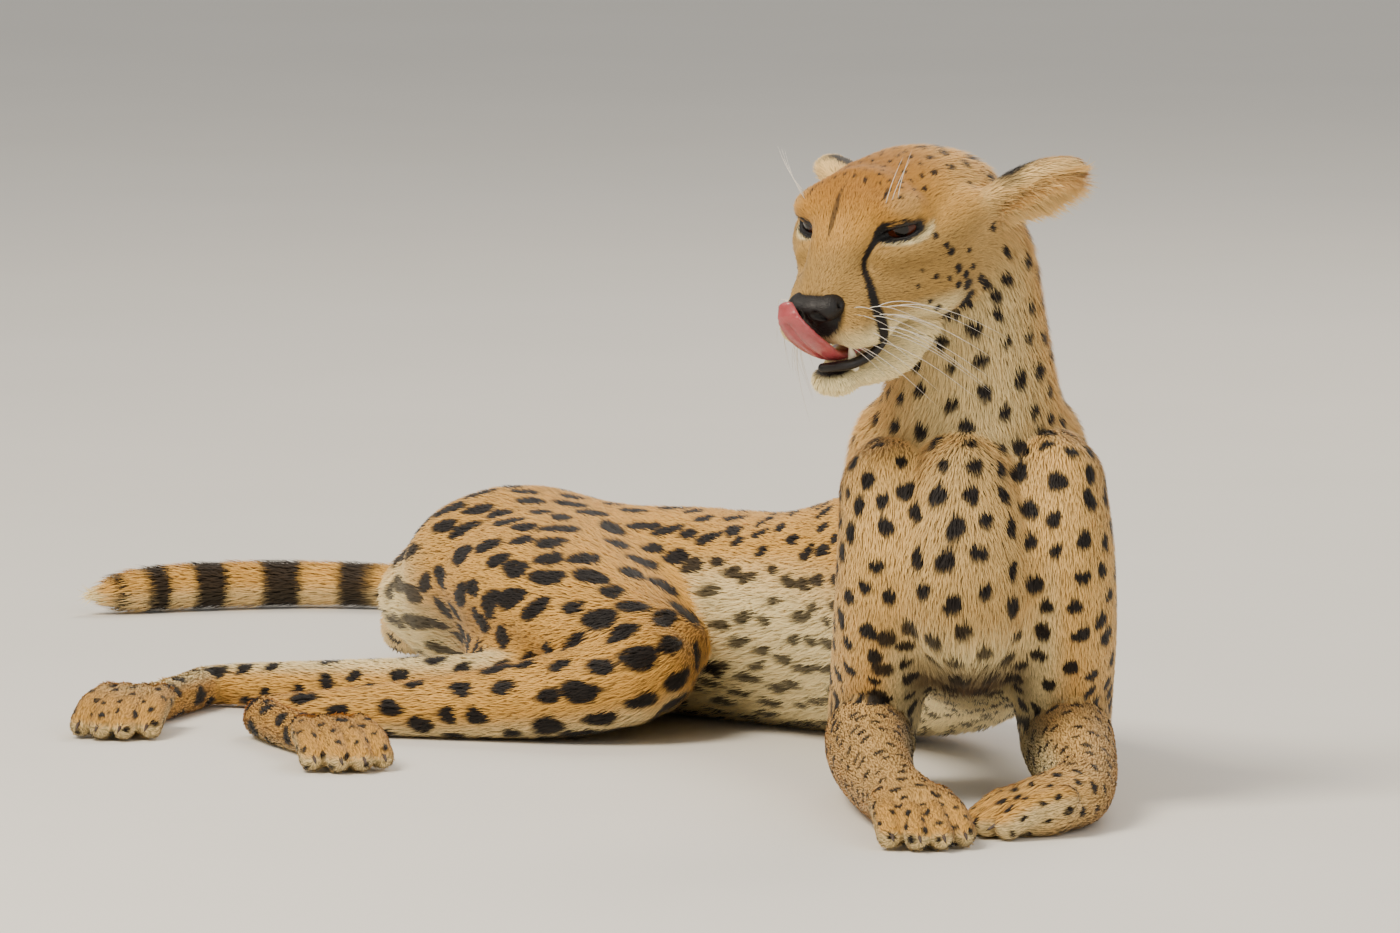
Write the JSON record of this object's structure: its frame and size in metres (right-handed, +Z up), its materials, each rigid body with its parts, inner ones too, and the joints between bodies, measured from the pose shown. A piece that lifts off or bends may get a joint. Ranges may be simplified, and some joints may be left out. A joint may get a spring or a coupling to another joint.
{
  "type": "cheetah",
  "caption": "Resting cheetah, life size, lying on its chest with the hips rolled to one side, head turned and tongue curled up to the nose.",
  "frame": {"origin": "on the floor, under the middle of the whole animal's box", "axes": "+Z up, -Y the way the chest and forelegs point, +X the animal's left side"},
  "size_m": [0.7432, 1.5036, 0.4573],
  "materials": {
    "canine_left": "smooth ivory enamel",
    "canine_right": "smooth ivory enamel",
    "ear_left": "short coat of hair with black spots",
    "ear_right": "short coat of hair with black spots",
    "eye_left": "wet, dark amber iris",
    "eye_right": "wet, dark amber iris",
    "fore_paw_left": "short coat of hair with black spots",
    "fore_paw_right": "short coat of hair with black spots",
    "forearm_left": "short coat of hair with black spots",
    "forearm_right": "short coat of hair with black spots",
    "head": "short coat of hair with black spots",
    "hind_foot_left": "short coat of hair with black spots",
    "hind_foot_right": "short coat of hair with black spots",
    "jaw": "short coat of hair with black spots",
    "loin": "short coat of hair with black spots",
    "neck": "short coat of hair with black spots",
    "nose": "bare black skin, fine pebbled, moist",
    "pelvis": "short coat of hair with black spots",
    "shank_left": "short coat of hair with black spots",
    "shank_right": "short coat of hair with black spots",
    "shoulder_left": "short coat of hair with black spots",
    "shoulder_right": "short coat of hair with black spots",
    "tail_base": "short coat of hair with black spots",
    "tail_end": "short coat of hair with black spots",
    "tail_middle": "short coat of hair with black spots",
    "tail_tip": "short coat of hair with black spots",
    "thigh_left": "short coat of hair with black spots",
    "thigh_right": "short coat of hair with black spots",
    "thorax": "short coat of hair with black spots",
    "tongue": "wet flesh"
  },
  "bodies": {
    "root": {"canine_left": "canine_left", "canine_right": "canine_right", "ear_left": "ear_left", "ear_right": "ear_right", "eye_left": "eye_left", "eye_right": "eye_right", "fore_paw_left": "fore_paw_left", "fore_paw_right": "fore_paw_right", "forearm_left": "forearm_left", "forearm_right": "forearm_right", "head": "head", "hind_foot_left": "hind_foot_left", "hind_foot_right": "hind_foot_right", "jaw": "jaw", "loin": "loin", "neck": "neck", "nose": "nose", "pelvis": "pelvis", "shank_left": "shank_left", "shank_right": "shank_right", "shoulder_left": "shoulder_left", "shoulder_right": "shoulder_right", "tail_base": "tail_base", "tail_end": "tail_end", "tail_middle": "tail_middle", "tail_tip": "tail_tip", "thigh_left": "thigh_left", "thigh_right": "thigh_right", "thorax": "thorax", "tongue": "tongue"}
  },
  "joints": []
}
